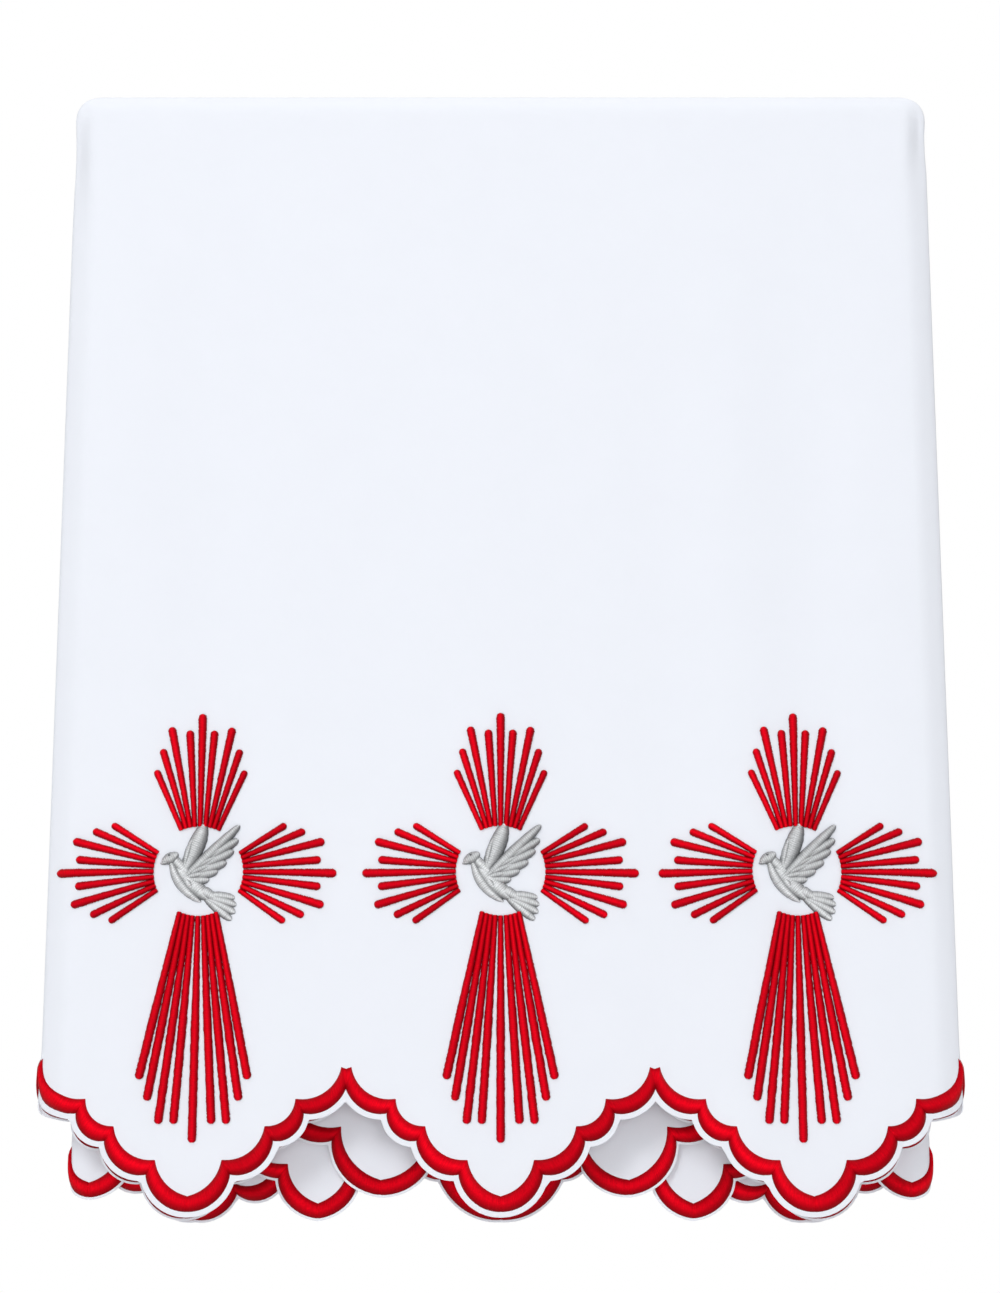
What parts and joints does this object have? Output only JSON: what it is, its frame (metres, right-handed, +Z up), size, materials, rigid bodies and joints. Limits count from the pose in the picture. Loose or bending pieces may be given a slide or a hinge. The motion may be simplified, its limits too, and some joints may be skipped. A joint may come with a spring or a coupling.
{
  "type": "altar cloth",
  "caption": "White altar cloth hung in half, sides folded in, with scalloped red satin hems and rayed crosses with silver doves on its front.",
  "frame": {"origin": "under the top fold, midway along it, where the cloth bears on what holds it up", "axes": "+Z up, the front with the crosses faces -Y, +X to the right as seen from the front"},
  "size_m": [0.4654, 0.04, 0.6008],
  "materials": {
    "cloth": "smooth white plain-weave cloth",
    "satin_red": "satin stitch in glossy red thread",
    "satin_silver": "satin stitch in glossy silver-grey thread"
  },
  "bodies": {
    "root": {"cloth": "cloth", "front_hem_border": "satin_red", "rear_hem_border": "satin_red", "left_cross_top_rays": "satin_red", "left_cross_left_rays": "satin_red", "left_cross_bottom_rays": "satin_red", "left_cross_right_rays": "satin_red", "middle_cross_top_rays": "satin_red", "middle_cross_left_rays": "satin_red", "middle_cross_bottom_rays": "satin_red", "middle_cross_right_rays": "satin_red", "right_cross_top_rays": "satin_red", "right_cross_left_rays": "satin_red", "right_cross_bottom_rays": "satin_red", "right_cross_right_rays": "satin_red", "left_dove": "satin_silver", "middle_dove": "satin_silver", "right_dove": "satin_silver"}
  },
  "joints": []
}
